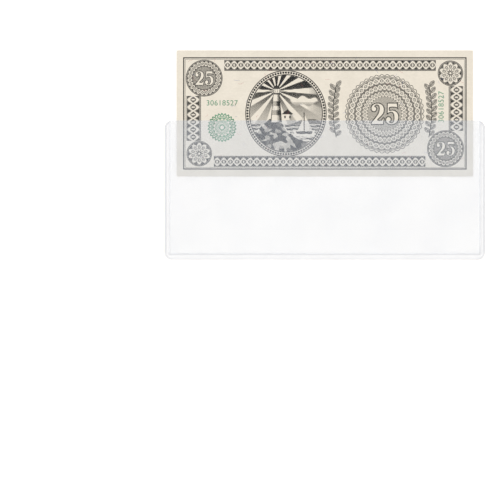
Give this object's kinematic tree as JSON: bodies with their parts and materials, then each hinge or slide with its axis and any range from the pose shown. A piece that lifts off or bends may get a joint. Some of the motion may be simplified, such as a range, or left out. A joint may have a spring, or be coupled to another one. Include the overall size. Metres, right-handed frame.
{
  "type": "banknote holder",
  "caption": "Clear stiff plastic sleeve, welded on three sides and open along one long edge, with a paper note that slides in its flat pocket.",
  "frame": {"origin": "middle of the sleeve's rectangular outline, on the outer face of the back sheet", "axes": "+X along the long edges, +Y from the welded long edge towards the open mouth, +Z from the back sheet to the front sheet"},
  "size_m": [0.169, 0.1104, 0.001],
  "materials": {
    "sheet_plastic": "clear, colourless, glossy rigid PVC sheet",
    "weld_plastic": "clear rigid PVC, pressed thinner and slightly frosted by the weld",
    "note_paper": "uncoated off-white note paper, printed in grey, black and green"
  },
  "bodies": {
    "sleeve": {"back_sheet": "sheet_plastic", "front_sheet": "sheet_plastic", "left_weld": "weld_plastic", "right_weld": "weld_plastic", "bottom_weld": "weld_plastic"},
    "note": {"banknote": "note_paper"}
  },
  "joints": [
    {"name": "note_slide", "type": "slide", "parent": "sleeve", "child": "note", "axis": [0, 1, 0], "range_m": [-0.0402, 0.035]}
  ]
}
